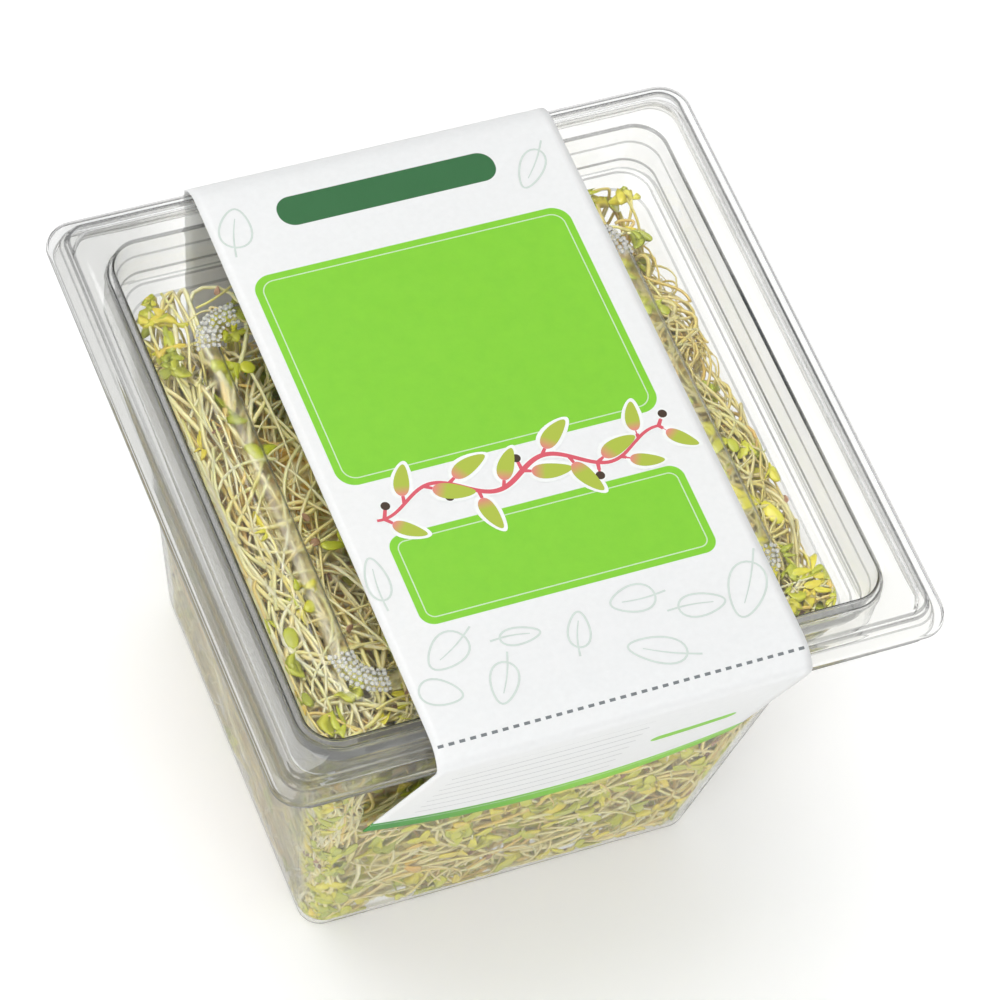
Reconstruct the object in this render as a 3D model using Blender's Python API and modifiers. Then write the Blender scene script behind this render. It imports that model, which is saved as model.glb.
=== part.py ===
# Clear plastic tub of mixed sprouts, with a press-on lid and a printed paper sleeve over it.
# Metres, +Z up. The origin is the middle of the tub's underside, and the front faces -Y.

import math
import random

import bmesh
import bpy
from mathutils import Matrix, Vector, noise

# Whole object
RIM_HALF = 0.0700            # the lid is a square of twice this
RIM_TOP = 0.1100             # the lid's flat rim above the table
FIT_GAP = 0.0003             # between pieces that touch
CORNER_STEPS = 4             # facets round each corner of a rounded square

# Tub
TUB_WALL = 0.0006
BASE_HALF = 0.0441           # just above the rounded bottom edge
BASE_EDGE = 0.0034           # height of that rounded edge
BASE_CORNER = 0.0052
LEDGE_HALF = 0.0562          # the tapered wall's top, under the ledge
LEDGE_HEIGHT = 0.0930
LEDGE_CORNER = 0.0080
MOUTH_HALF = 0.0612          # the straight mouth above the ledge
MOUTH_CORNER = 0.0085

# Lid
LID_WALL = 0.0005
LIP_DROP = 0.0029            # the thin outer lip lies this far under the rim
RIM_INNER = 0.0606           # where the flat rim ends and the recess starts
RIM_OUTER = 0.0661
RECESS_CORNER = 0.0062
PANEL_DEPTH = 0.0123         # the recessed panel under the rim
PANEL_HALF = 0.0568
BEAD_OUTER = 0.0472          # raised square bead on the panel
BEAD_WIDTH = 0.0053
BEAD_RISE = 0.0020
BEAD_CORNER = 0.0095

# Paper sleeve
PAPER = 0.0004
SLEEVE_HALF = 0.0389
SLEEVE_FLARE = 0.0013        # the flaps are a little wider at their ends
SLEEVE_COLUMNS = 6
FLAP_END_REACH = 0.0514      # where a flap's end meets the tapered wall
FLAP_END_HEIGHT = 0.0536
FLAP_BOW = 0.0030            # the middle of a flap's end stands off the wall
FOLD_REACH = 0.07045         # the fold under the lid's lip
FOLD_HEIGHT = 0.1062

# Sprouts
SEED = 19
CORE_FLOOR = 0.0050
CORE_TOP = 0.0905
CORE_NEAR = 0.0030           # the core's inner end, beside the tub's middle line
CORE_SINK = 0.0055           # the core stays this far inside the tub's wall
CORE_CUTS = 3
CORE_LUMP = 0.0016
CORE_LUMP_SCALE = 70.0
SEAM = 0.0013                # half the space between neighbouring tufts
CEILING = 0.0966             # just under the lid's panel
FLOOR = 0.0012
WALL_CLEAR = 0.0005
CORNER_CLEAR = 0.0052        # keeps tufts out of the tub's rounded corners
EASE_BAND = 0.0022
STEM_RADIUS = 0.00065
STEM_SIDES = 3
STEM_STEPS = 4
ROOT_SINK = 0.0032
LEAFY_ON_WALL = 12           # strands in each tuft
BARE_ON_WALL = 7
LEAFY_ON_TOP = 4
BARE_ON_TOP = 3
SEEDS_PER_TUFT = 2
STRAND_BEND = math.radians(34)   # the most a strand turns at each step
STRAND_STEP = (0.0052, 0.0078)
STRAND_RISE = (0.0016, 0.0040)   # how far a strand's points stand off the core
WALL_SPAN = 0.95             # share of the wall's width that strands start in
TOP_SPAN = 0.85
TOP_NEAR = 0.0120            # the nearest start to the middle line, under the lid
LEAF_LENGTH = 0.0058
LEAF_WIDTH = 0.0031
LEAF_THICK = 0.0010
LEAF_SPREAD = math.radians(34)
LEAF_TILT = math.radians(28)
LEAF_SIZES = (0.85, 1.10)
LOBE_FOOT = 0.62             # where a lobe's foot lies, as a share of half its length
LOBE_TAPER = 0.28            # how much narrower a lobe is at its foot
LOBE_CUP = 0.0006
SEED_RADIUS = 0.0011

SIDES = ("front", "right", "back", "left")


def clear_scene():
    for obj in list(bpy.data.objects):
        bpy.data.objects.remove(obj, do_unlink=True)
    for coll in list(bpy.data.collections):
        bpy.data.collections.remove(coll)


def new_collection(name):
    coll = bpy.data.collections.new(name)
    bpy.context.scene.collection.children.link(coll)
    return coll


def make_material(name, colour, roughness, alpha=1.0):
    mat = bpy.data.materials.new(name)
    mat.use_nodes = True
    shader = mat.node_tree.nodes["Principled BSDF"]
    shader.inputs["Base Color"].default_value = (*colour, 1.0)
    shader.inputs["Roughness"].default_value = roughness
    shader.inputs["Metallic"].default_value = 0.0
    shader.inputs["Alpha"].default_value = alpha
    mat.diffuse_color = (*colour, alpha)
    return mat


def mesh_object(name, bm, coll, mat):
    mesh = bpy.data.meshes.new(name)
    bm.to_mesh(mesh)
    bm.free()
    obj = bpy.data.objects.new(name, mesh)
    coll.objects.link(obj)
    if mat:
        mesh.materials.append(mat)
    return obj


def close_piece(name, bm, coll, mat=None):
    bm.normal_update()
    bmesh.ops.recalc_face_normals(bm, faces=bm.faces)
    if bm.calc_volume(signed=True) < 0:
        bmesh.ops.reverse_faces(bm, faces=bm.faces)
    return mesh_object(name, bm, coll, mat)


# Shells made of rounded squares

def square_ring(half, height, corner):
    points = []
    middle = half - corner
    for quarter in range(4):
        centre_x = middle if quarter in (0, 3) else -middle
        centre_y = middle if quarter in (0, 1) else -middle
        for step in range(CORNER_STEPS + 1):
            turn = math.radians(90 * (quarter + step / CORNER_STEPS))
            points.append((centre_x + corner * math.cos(turn), centre_y + corner * math.sin(turn), height))
    return points


def loft_squares(rings):
    bm = bmesh.new()
    loops = []
    for half, height, corner in rings:
        loops.append([bm.verts.new(point) for point in square_ring(half, height, corner)])
    for first, second in zip(loops, loops[1:]):
        for i in range(len(first)):
            j = (i + 1) % len(first)
            bm.faces.new((first[i], first[j], second[j], second[i]))
    return bm, loops


def thicken(obj, thickness, offset):
    wall = obj.modifiers.new("Wall", "SOLIDIFY")
    wall.thickness = thickness
    wall.offset = offset
    wall.use_even_offset = True


def tub_rings():
    # the outer surface, from the underside up to the edge of the flange
    foot = [
        (BASE_HALF - 0.0030, 0.0, BASE_CORNER - 0.0020),
        (BASE_HALF - 0.0013, 0.0004, BASE_CORNER - 0.0010),
        (BASE_HALF - 0.0004, 0.0016, BASE_CORNER - 0.0004),
        (BASE_HALF, BASE_EDGE, BASE_CORNER),
    ]
    ledge = [
        (LEDGE_HALF, LEDGE_HEIGHT, LEDGE_CORNER),
        (LEDGE_HALF + 0.0006, LEDGE_HEIGHT + 0.0008, LEDGE_CORNER),
        (MOUTH_HALF - 0.0012, LEDGE_HEIGHT + 0.0014, MOUTH_CORNER - 0.0012),
        (MOUTH_HALF - 0.0003, LEDGE_HEIGHT + 0.0022, MOUTH_CORNER - 0.0003),
    ]
    flange_under = RIM_TOP - 0.0015
    flange = [
        (MOUTH_HALF, flange_under - 0.0013, MOUTH_CORNER),
        (MOUTH_HALF + 0.0003, flange_under - 0.0005, MOUTH_CORNER + 0.0001),
        (MOUTH_HALF + 0.0010, flange_under, MOUTH_CORNER + 0.0002),
        (RIM_OUTER - 0.0014, flange_under, 0.0050),
        (RIM_OUTER - 0.0009, flange_under - 0.0005, 0.0052),
        (RIM_OUTER - 0.0007, flange_under - 0.0024, 0.0053),
        (RIM_OUTER - 0.0002, flange_under - 0.0035, 0.0055),
        (RIM_OUTER + 0.0007, flange_under - 0.0039, 0.0057),
        (RIM_HALF - 0.0021, flange_under - 0.0041, 0.0060),
        (RIM_HALF - 0.0017, flange_under - 0.0046, 0.0061),
        (RIM_HALF - 0.0016, flange_under - 0.0053, 0.0062),
    ]
    return foot + ledge + flange


def make_tub(coll, mat):
    bm, loops = loft_squares(tub_rings())
    bm.faces.new(list(reversed(loops[0])))
    tub = mesh_object("tub", bm, coll, mat)
    thicken(tub, TUB_WALL, -1.0)
    tub.data.shade_smooth()
    tub.data.set_sharp_from_angle(angle=math.radians(35))
    return tub


def lid_rings():
    # the upper surface, from the lip's edge in to the middle of the panel
    lip_top = RIM_TOP - LIP_DROP
    lip = [
        (RIM_HALF, lip_top - 0.0014, 0.0062),
        (RIM_HALF - 0.0001, lip_top - 0.0006, 0.0062),
        (RIM_HALF - 0.0008, lip_top - 0.0001, 0.0056),
        (RIM_HALF - 0.0024, lip_top, 0.0046),
    ]
    rim = [
        (RIM_OUTER + 0.0010, lip_top + 0.0005, 0.0046),
        (RIM_OUTER + 0.0007, RIM_TOP - 0.0008, 0.0046),
        (RIM_OUTER, RIM_TOP, 0.0044),
        (RIM_INNER, RIM_TOP, RECESS_CORNER + 0.0008),
    ]
    # two small steps run round the recess wall
    wall = [
        (RIM_INNER - 0.0007, RIM_TOP - 0.0003, RECESS_CORNER + 0.0004),
        (RIM_INNER - 0.0011, RIM_TOP - 0.0010, RECESS_CORNER),
        (RIM_INNER - 0.0014, RIM_TOP - 0.0044, RECESS_CORNER),
        (RIM_INNER - 0.0018, RIM_TOP - 0.0050, RECESS_CORNER),
        (RIM_INNER - 0.0020, RIM_TOP - 0.0091, RECESS_CORNER),
        (RIM_INNER - 0.0024, RIM_TOP - 0.0097, RECESS_CORNER),
        (RIM_INNER - 0.0027, RIM_TOP - 0.0112, RECESS_CORNER),
    ]
    panel_top = RIM_TOP - PANEL_DEPTH
    panel = [
        (PANEL_HALF + 0.0007, panel_top + 0.0003, RECESS_CORNER),
        (PANEL_HALF, panel_top, RECESS_CORNER),
    ]
    bead_inner = BEAD_OUTER - BEAD_WIDTH
    bead_top = panel_top + BEAD_RISE
    inner_corner = BEAD_CORNER - BEAD_WIDTH
    bead = [
        (BEAD_OUTER, panel_top, BEAD_CORNER),
        (BEAD_OUTER - 0.0005, bead_top - 0.0006, BEAD_CORNER - 0.0004),
        (BEAD_OUTER - 0.0013, bead_top, BEAD_CORNER - 0.0010),
        (bead_inner + 0.0013, bead_top, inner_corner + 0.0012),
        (bead_inner + 0.0005, bead_top - 0.0006, inner_corner + 0.0006),
        (bead_inner, panel_top, inner_corner),
    ]
    return lip + rim + wall + panel + bead


def make_lid(coll, mat):
    bm, loops = loft_squares(lid_rings())
    bm.faces.new(loops[-1])
    lid = mesh_object("lid", bm, coll, mat)
    thicken(lid, LID_WALL, -1.0)
    lid.data.shade_smooth()
    lid.data.set_sharp_from_angle(angle=math.radians(35))
    return lid


# Paper sleeve

def sleeve_path():
    # reach and height of the paper's underside, from the front flap's end to the middle of the top
    top = RIM_TOP + FIT_GAP
    half = [
        (FLAP_END_REACH, FLAP_END_HEIGHT),
        ((FLAP_END_REACH + FOLD_REACH) / 2, (FLAP_END_HEIGHT + FOLD_HEIGHT) / 2),
        (FOLD_REACH, FOLD_HEIGHT),
        (FOLD_REACH, FOLD_HEIGHT + 0.0009),
        (FOLD_REACH - 0.0008, FOLD_HEIGHT + 0.0020),
        (FOLD_REACH - 0.0025, FOLD_HEIGHT + 0.0033),
        (FOLD_REACH - 0.0044, top),
    ]
    front = [(-reach, height) for reach, height in half]
    back = [(reach, height) for reach, height in reversed(half)]
    return front + [(0.0, top)] + back


def make_sleeve(coll, mat):
    bm = bmesh.new()
    rows = []
    for reach, height in sleeve_path():
        down = max(0.0, (FOLD_HEIGHT - height) / (FOLD_HEIGHT - FLAP_END_HEIGHT))
        row = []
        for column in range(SLEEVE_COLUMNS + 1):
            across = 2 * column / SLEEVE_COLUMNS - 1
            bow = FLAP_BOW * down * (1 - across * across)
            outward = math.copysign(bow, reach)
            row.append(bm.verts.new((across * (SLEEVE_HALF + SLEEVE_FLARE * down), reach + outward, height)))
        rows.append(row)
    for lower, upper in zip(rows, rows[1:]):
        for i in range(SLEEVE_COLUMNS):
            bm.faces.new((lower[i], lower[i + 1], upper[i + 1], upper[i]))
    sleeve = mesh_object("sleeve", bm, coll, mat)
    thicken(sleeve, PAPER, 1.0)
    return sleeve


# Sprouts. Each tuft fills the quarter of the tub behind one wall. Its own coordinates are
# across the wall, out from the tub's middle line, and up.

def wall_inside(height):
    share = (height - BASE_EDGE) / (LEDGE_HEIGHT - BASE_EDGE)
    share = min(max(share, 0.0), 1.0)
    return BASE_HALF + (LEDGE_HALF - BASE_HALF) * share - TUB_WALL


def core_reach(height):
    return wall_inside(height) - CORE_SINK


def ease_below(value, limit):
    # squeezes what comes near a limit, so that nothing crosses it
    start = limit - EASE_BAND
    if value <= start:
        return value
    return limit - EASE_BAND * math.exp((start - value) / EASE_BAND)


def settle(point):
    across, out, up = point
    up = ease_below(up, CEILING)
    up = -ease_below(-up, -FLOOR)
    out = ease_below(out, wall_inside(up) - WALL_CLEAR)
    out = -ease_below(-out, -CORE_NEAR)
    side_limit = min(out - SEAM, wall_inside(up) - CORNER_CLEAR)
    across = math.copysign(ease_below(abs(across), side_limit), across)
    return Vector((across, out, up))


def to_world(point, side):
    turned = Matrix.Rotation(math.radians(90 * side), 4, "Z")
    return turned @ Vector((point.x, -point.y, point.z))


def make_core(name, side, coll, mat):
    bm = bmesh.new()
    bmesh.ops.create_cube(bm, size=2.0)
    bmesh.ops.subdivide_edges(bm, edges=bm.edges, cuts=CORE_CUTS, use_grid_fill=True)
    bmesh.ops.triangulate(bm, faces=bm.faces)
    for vert in bm.verts:
        across, outward, upward = vert.co
        up = CORE_FLOOR + (CORE_TOP - CORE_FLOOR) * (upward + 1) / 2
        out = CORE_NEAR + (core_reach(up) - CORE_NEAR) * (outward + 1) / 2
        lump = noise.noise(Vector((across * out, out, up)) * CORE_LUMP_SCALE + Vector((side, 0, 0)))
        out += CORE_LUMP * lump * (outward + 1) / 2
        up += CORE_LUMP * lump * upward
        width = max(min(out - SEAM, core_reach(up) - CORNER_CLEAR), SEAM)
        vert.co = to_world(Vector((across * width, out, up)), side)
    return close_piece(name, bm, coll, mat)


def on_wall(across, along, rise):
    return Vector((across, core_reach(along) + rise, along))


def on_top(across, along, rise):
    return Vector((across, along, CORE_TOP + rise))


def strand_points(place, rng, start, leafy):
    # sunk root, then an arc over the core; a bare strand dives back in at its end
    heading = rng.uniform(0, 2 * math.pi)
    turn = rng.uniform(-STRAND_BEND, STRAND_BEND)
    step = rng.uniform(*STRAND_STEP)
    across, along = start
    points = [place(across, along, -ROOT_SINK)]
    for i in range(STEM_STEPS):
        across += step * math.cos(heading)
        along += step * math.sin(heading)
        heading += turn
        rise = rng.uniform(*STRAND_RISE)
        if not leafy and i == STEM_STEPS - 1:
            rise = -ROOT_SINK
        points.append(place(across, along, rise))
    return [settle(point) for point in points]


def make_stem(points, side, coll):
    # a three-sided strand: its end face is drawn out from point to point
    bm = bmesh.new()
    bmesh.ops.create_circle(bm, cap_ends=True, segments=STEM_SIDES, radius=STEM_RADIUS)
    knots = [to_world(point, side) for point in points]
    poses = []
    for i, knot in enumerate(knots):
        along = knots[min(i + 1, len(knots) - 1)] - knots[max(i - 1, 0)]
        poses.append(Matrix.Translation(knot) @ along.to_track_quat("Z", "Y").to_matrix().to_4x4())
    bmesh.ops.transform(bm, matrix=poses[0], verts=bm.verts)
    start = bm.faces[:]
    end = start
    for before, after in zip(poses, poses[1:]):
        grown = bmesh.ops.extrude_face_region(bm, geom=end)["geom"]
        if end is not start:
            bmesh.ops.delete(bm, geom=end, context="FACES_ONLY")
        ring = [item for item in grown if isinstance(item, bmesh.types.BMVert)]
        end = [item for item in grown if isinstance(item, bmesh.types.BMFace)]
        bmesh.ops.transform(bm, matrix=after @ before.inverted(), verts=ring)
    bmesh.ops.triangulate(bm, faces=bm.faces)
    return close_piece("strand", bm, coll)


def make_lobe(length, width, thick, frame, base, side, coll):
    # a six-sided lens, narrow at its foot, set along the frame's first axis
    bm = bmesh.new()
    bmesh.ops.create_uvsphere(bm, u_segments=6, v_segments=2, radius=1.0)
    for vert in bm.verts:
        x, y, z = vert.co
        taper = 1 - LOBE_TAPER + LOBE_TAPER * x
        local = Vector(((x + LOBE_FOOT) * length / 2, y * taper * width / 2, z * thick / 2 - LOBE_CUP * x * x))
        vert.co = to_world(settle(base + frame @ local), side)
    return close_piece("lobe", bm, coll)


def lobe_frame(forward, outward, swing, tilt):
    # columns: along the leaf, across it, and its face
    face = (outward - outward.dot(forward) * forward).normalized()
    flat = Matrix((forward, face.cross(forward), face)).transposed()
    return flat @ Matrix.Rotation(swing, 3, "Z") @ Matrix.Rotation(tilt, 3, "X")


def add_leaves(points, outward, rng, side, coll):
    forward = (points[-1] - points[-2]).normalized()
    for swing in (-LEAF_SPREAD, LEAF_SPREAD):
        size = rng.uniform(*LEAF_SIZES)
        frame = lobe_frame(forward, outward, swing, rng.uniform(-LEAF_TILT, LEAF_TILT))
        make_lobe(LEAF_LENGTH * size, LEAF_WIDTH * size, LEAF_THICK, frame, points[-1], side, coll)


def add_seed(points, outward, side, coll):
    # a seed coat that still clings to the bend of a strand
    forward = (points[3] - points[2]).normalized()
    frame = lobe_frame(forward, outward, 0.0, 0.0)
    make_lobe(3.2 * SEED_RADIUS, 2 * SEED_RADIUS, 1.6 * SEED_RADIUS, frame, points[2], side, coll)


def start_point(rng, place, half_width):
    if place is on_wall:
        along = rng.uniform(CORE_FLOOR + 0.006, CORE_TOP - 0.004)
        half_width = core_reach(along) - CORNER_CLEAR
        return rng.uniform(-WALL_SPAN, WALL_SPAN) * half_width, along
    along = rng.uniform(TOP_NEAR, half_width)
    return rng.uniform(-TOP_SPAN, TOP_SPAN) * along, along


def grow_strands(place, outward, leafy_count, bare_count, rng, side, coll):
    reach = core_reach(CORE_TOP) - 0.003
    routes = []
    for i in range(leafy_count + bare_count):
        leafy = i < leafy_count
        points = strand_points(place, rng, start_point(rng, place, reach), leafy)
        make_stem(points, side, coll)
        routes.append(points)
        if leafy:
            add_leaves(points, outward, rng, side, coll)
    return routes


def keep_largest_body(bm):
    # drops loose scraps and fills sealed hollows, by keeping only the outer skin
    left = set(bm.faces)
    bodies = []
    while left:
        stack = [left.pop()]
        body = []
        while stack:
            face = stack.pop()
            body.append(face)
            for edge in face.edges:
                for other in edge.link_faces:
                    if other in left:
                        left.remove(other)
                        stack.append(other)
        bodies.append(body)
    bodies.sort(key=len)
    for body in bodies[:-1]:
        bmesh.ops.delete(bm, geom=body, context="FACES")


def fuse(core, loose):
    join = core.modifiers.new("Join", "BOOLEAN")
    join.operation = "UNION"
    join.operand_type = "COLLECTION"
    join.collection = loose
    join.solver = "MANIFOLD"
    evaluated = core.evaluated_get(bpy.context.evaluated_depsgraph_get())
    joined = bpy.data.meshes.new_from_object(evaluated)
    core.modifiers.remove(join)
    for obj in list(loose.objects):
        bpy.data.objects.remove(obj, do_unlink=True)
    bm = bmesh.new()
    bm.from_mesh(joined)
    bpy.data.meshes.remove(joined)
    bmesh.ops.triangulate(bm, faces=bm.faces)
    keep_largest_body(bm)
    bm.to_mesh(core.data)
    bm.free()


def make_tuft(side, coll, mat):
    name = "sprouts_" + SIDES[side]
    rng = random.Random(SEED + side)
    loose = new_collection(name + "_strands")
    core = make_core(name, side, coll, mat)
    out = Vector((0, 1, 0))
    up = Vector((0, 0, 1))
    routes = grow_strands(on_wall, out, LEAFY_ON_WALL, BARE_ON_WALL, rng, side, loose)
    grow_strands(on_top, up, LEAFY_ON_TOP, BARE_ON_TOP, rng, side, loose)
    for points in routes[-SEEDS_PER_TUFT:]:
        add_seed(points, out, side, loose)
    fuse(core, loose)
    bpy.data.collections.remove(loose)
    return core


def main():
    clear_scene()
    coll = new_collection("tub_of_sprouts")
    clear_plastic = make_material("clear plastic", (0.88, 0.90, 0.89), 0.08, 0.30)
    lid_plastic = make_material("clear lid plastic", (0.90, 0.92, 0.91), 0.06, 0.30)
    paper = make_material("white paper", (0.90, 0.92, 0.90), 0.55)
    shoots = make_material("fresh sprouts", (0.68, 0.62, 0.33), 0.45)
    make_tub(coll, clear_plastic)
    make_lid(coll, lid_plastic)
    make_sleeve(coll, paper)
    for side in range(len(SIDES)):
        make_tuft(side, coll, shoots)


main()
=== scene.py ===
import math
import bpy
import bmesh
import numpy as np
from mathutils import Matrix, Vector, noise


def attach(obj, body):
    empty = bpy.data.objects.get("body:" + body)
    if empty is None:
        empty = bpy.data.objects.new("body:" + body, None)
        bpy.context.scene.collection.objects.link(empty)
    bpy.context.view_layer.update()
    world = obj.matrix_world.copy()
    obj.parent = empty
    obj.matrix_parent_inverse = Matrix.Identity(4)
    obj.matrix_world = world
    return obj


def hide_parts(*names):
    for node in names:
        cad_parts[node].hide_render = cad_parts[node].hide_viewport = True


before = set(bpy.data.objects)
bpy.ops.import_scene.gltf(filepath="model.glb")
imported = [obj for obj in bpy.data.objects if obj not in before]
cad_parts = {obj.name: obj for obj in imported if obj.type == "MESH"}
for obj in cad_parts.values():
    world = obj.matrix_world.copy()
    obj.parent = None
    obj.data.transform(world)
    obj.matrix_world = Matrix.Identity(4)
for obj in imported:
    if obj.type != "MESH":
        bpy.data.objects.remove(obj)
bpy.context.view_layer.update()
scene = bpy.context.scene
print("frame loaded:", ", ".join(sorted(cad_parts)))


# camera: the photo's angle, from the tub's square rim and base
photoView = {
    "lens": 177.45, "sensor": 36.0, "distance": 0.98939, "aim": (0, 0, 0.080),
    "around": -0.578444, "above": 0.965927, "roll": 0.241406, "slide": (0.00538, 0.00015),
}


def makeCamera(look):
    data = bpy.data.cameras.new("photoCamera")
    data.lens, data.sensor_width = look["lens"], look["sensor"]
    data.clip_start, data.clip_end = 0.05, 20
    around, above, roll = look["around"], look["above"], look["roll"]
    back = Vector((math.sin(around) * math.cos(above), -math.cos(around) * math.cos(above), math.sin(above)))
    across = Vector((0, 0, 1)).cross(back).normalized()
    up = back.cross(across)
    right = math.cos(roll) * across + math.sin(roll) * up
    top = -math.sin(roll) * across + math.cos(roll) * up
    place = Vector(look["aim"]) + back * look["distance"] + right * look["slide"][0] + top * look["slide"][1]
    camera = bpy.data.objects.new("photoCamera", data)
    scene.collection.objects.link(camera)
    camera.matrix_world = Matrix((
        (right.x, top.x, back.x, place.x), (right.y, top.y, back.y, place.y),
        (right.z, top.z, back.z, place.z), (0, 0, 0, 1)))
    scene.camera = camera


# studio: a pale floor, a soft box above, two fills and a bright room
studio = {
    "floor": (0.93, 0.93, 0.93, 1), "floorMirrored": (0.55, 0.55, 0.54, 1), "floorGlow": 0.22, "floorRough": 0.7,
    "floorSize": 3.0, "floorParts": 12,
    # the room's greys by height, as the plastic mirrors them, how cool they are, and the even light after a bounce
    "greys": [(0.0, 0.40), (0.06, 0.20), (0.26, 0.34), (0.42, 0.9), (1.0, 1.0)], "cool": 1.01, "ambient": 0.98,
    "backdrop": 1.4, "room": 0.62, "lampsAim": (0, 0, 0.05),
    "lamps": [
        # name, place, size, watts
        ("softTop", (-0.25, 0.35, 1.5), 1.1, 9.0),
        ("softLeft", (-1.2, -0.7, 0.7), 0.8, 4.5),
        ("softFront", (0.3, -1.4, 0.6), 0.8, 3.2),
    ],
}


def makeStudio(look):
    scene.view_settings.view_transform = "Standard"
    for name, place, size, watts in look["lamps"]:
        data = bpy.data.lights.new(name, "AREA")
        data.shape, data.size, data.energy = "DISK", size, watts
        lamp = bpy.data.objects.new(name, data)
        scene.collection.objects.link(lamp)
        lamp.location = place
        lamp.rotation_euler = (Vector(place) - Vector(look["lampsAim"])).to_track_quat("Z", "Y").to_euler()
    scene.world = bpy.data.worlds.new("whiteRoom")
    scene.world.use_nodes = True
    net = Wiring(scene.world.node_tree)
    up = net.split(net.add("TexCoord").outputs["Generated"])["Z"]
    room = net.ramp(up, [(at, (grey, grey, grey * look["cool"], 1)) for at, grey in look["greys"]])
    # what the camera sees straight past the floor is plain and pale
    path = net.add("LightPath").outputs
    bounced = net.math("GREATER_THAN", path["Diffuse Depth"], 0.5)
    room = net.mix(bounced, room, (look["ambient"],) * 3 + (1,))
    room = net.mix(path["Is Camera Ray"], room, (look["backdrop"],) * 3 + (1,))
    net.feed(net.nodes["Background"], {"Color": room, "Strength": look["room"]})

    bm = bmesh.new()
    bmesh.ops.create_grid(bm, x_segments=look["floorParts"], y_segments=look["floorParts"], size=look["floorSize"] / 2)
    floor = newPiece("paleFloor", bm, [floorFinish(look)])
    floor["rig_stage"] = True


# shared helpers
def newPiece(name, bm, finishes, smooth=True):
    mesh = bpy.data.meshes.new(name)
    bm.to_mesh(mesh)
    bm.free()
    return wrapMesh(name, mesh, finishes, smooth)


def wrapMesh(name, mesh, finishes, smooth=True):
    mesh.name = name
    mesh.materials.clear()
    for finish in finishes:
        mesh.materials.append(finish)
    mesh.polygons.foreach_set("use_smooth", [smooth] * len(mesh.polygons))
    piece = bpy.data.objects.new(name, mesh)
    scene.collection.objects.link(piece)
    return piece


def onRoot(piece, slotName, *nodes):
    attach(piece, "root")
    if nodes:
        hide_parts(*nodes)
    return piece


def dimmed(colour, factor):
    return tuple(c * factor for c in colour[:3]) + (1,)


class Wiring:
    # short ways to add nodes to a tree; a value is a number, a colour or another node's output
    def __init__(self, tree):
        self.nodes, self.links = tree.nodes, tree.links

    def feed(self, node, values):
        for label, value in values.items():
            if isinstance(value, bpy.types.NodeSocket):
                self.links.new(value, node.inputs[label])
            else:
                node.inputs[label].default_value = value
        return node

    def add(self, kind, **values):
        return self.feed(self.nodes.new("ShaderNode" + kind), values)

    def math(self, operation, *sources, clamp=False):
        node = self.add("Math")
        node.operation, node.use_clamp = operation, clamp
        return self.feed(node, dict(enumerate(sources))).outputs[0]

    def times(self, *sources):
        total = sources[0]
        for source in sources[1:]:
            total = self.math("MULTIPLY", total, source)
        return total

    def blend(self, value, factor, shift, clamp=False):
        return self.math("MULTIPLY_ADD", value, factor, shift, clamp=clamp)

    def near(self, value, middle, half):
        # 1 where the value is less than half away from the middle
        away = self.math("ABSOLUTE", self.math("SUBTRACT", value, middle))
        return self.math("LESS_THAN", away, half)

    def mix(self, mask, under, over, blend="MIX"):
        node = self.add("Mix")
        node.data_type, node.blend_type = "RGBA", blend
        return self.feed(node, {0: mask, 6: under, 7: over}).outputs[2]

    def span(self, value, start, end=(0.0, 1.0), smooth=False):
        node = self.add("MapRange", Value=value)
        node.interpolation_type = "SMOOTHSTEP" if smooth else "LINEAR"
        self.feed(node, {"From Min": start[0], "From Max": start[1], "To Min": end[0], "To Max": end[1]})
        return node.outputs[0]

    def ramp(self, value, stops):
        node = self.add("ValToRGB", Fac=value)
        elements = node.color_ramp.elements
        for number, (at, colour) in enumerate(stops):
            stop = elements[number] if number < 2 else elements.new(at)
            stop.position, stop.color = at, colour
        return node.outputs[0]

    def split(self, vector):
        return self.add("SeparateXYZ", Vector=vector).outputs

    def place(self):
        return self.add("TexCoord").outputs["Object"]

    def attribute(self, name):
        node = self.add("Attribute")
        node.attribute_name = name
        return node.outputs["Fac"]

    def group(self, tree, values):
        node = self.add("Group")
        node.node_tree = tree
        return self.feed(node, values).outputs

    def patches(self, place, scale, low=0.4, high=0.6):
        return self.group(softPatches, {"Vector": place, "Scale": scale, "Low": low, "High": high})[0]

    def panel(self, across, along, values):
        # values: middles across and along, half sizes across and along, corner radius
        labels = ("Middle Across", "Middle Along", "Half Across", "Half Along", "Radius")
        return self.group(roundedPanel, {"Across": across, "Along": along, **dict(zip(labels, values))})

    def bump(self, shader, place, scale, coarse, depth, strength=0.5):
        height = self.group(surfaceGrain, {"Vector": place, "Scale": scale, "Coarse": coarse})[0]
        node = self.add("Bump", Distance=depth, Strength=strength, Height=height)
        self.feed(shader, {"Normal": node.outputs[0]})


def newFinish(name):
    finish = bpy.data.materials.new(name)
    finish.use_nodes = True
    net = Wiring(finish.node_tree)
    return finish, net, net.nodes["Principled BSDF"]


def newGroup(name, takes, gives):
    # takes: each input's name and first value, None for a vector
    group = bpy.data.node_groups.new(name, "ShaderNodeTree")
    for label, first in takes.items():
        kind = "NodeSocketVector" if first is None else "NodeSocketFloat"
        made = group.interface.new_socket(label, in_out="INPUT", socket_type=kind)
        if first is not None:
            made.default_value = first
    for label in gives:
        group.interface.new_socket(label, in_out="OUTPUT", socket_type="NodeSocketFloat")
    net = Wiring(group)
    return group, net, net.nodes.new("NodeGroupInput").outputs, net.nodes.new("NodeGroupOutput")


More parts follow.
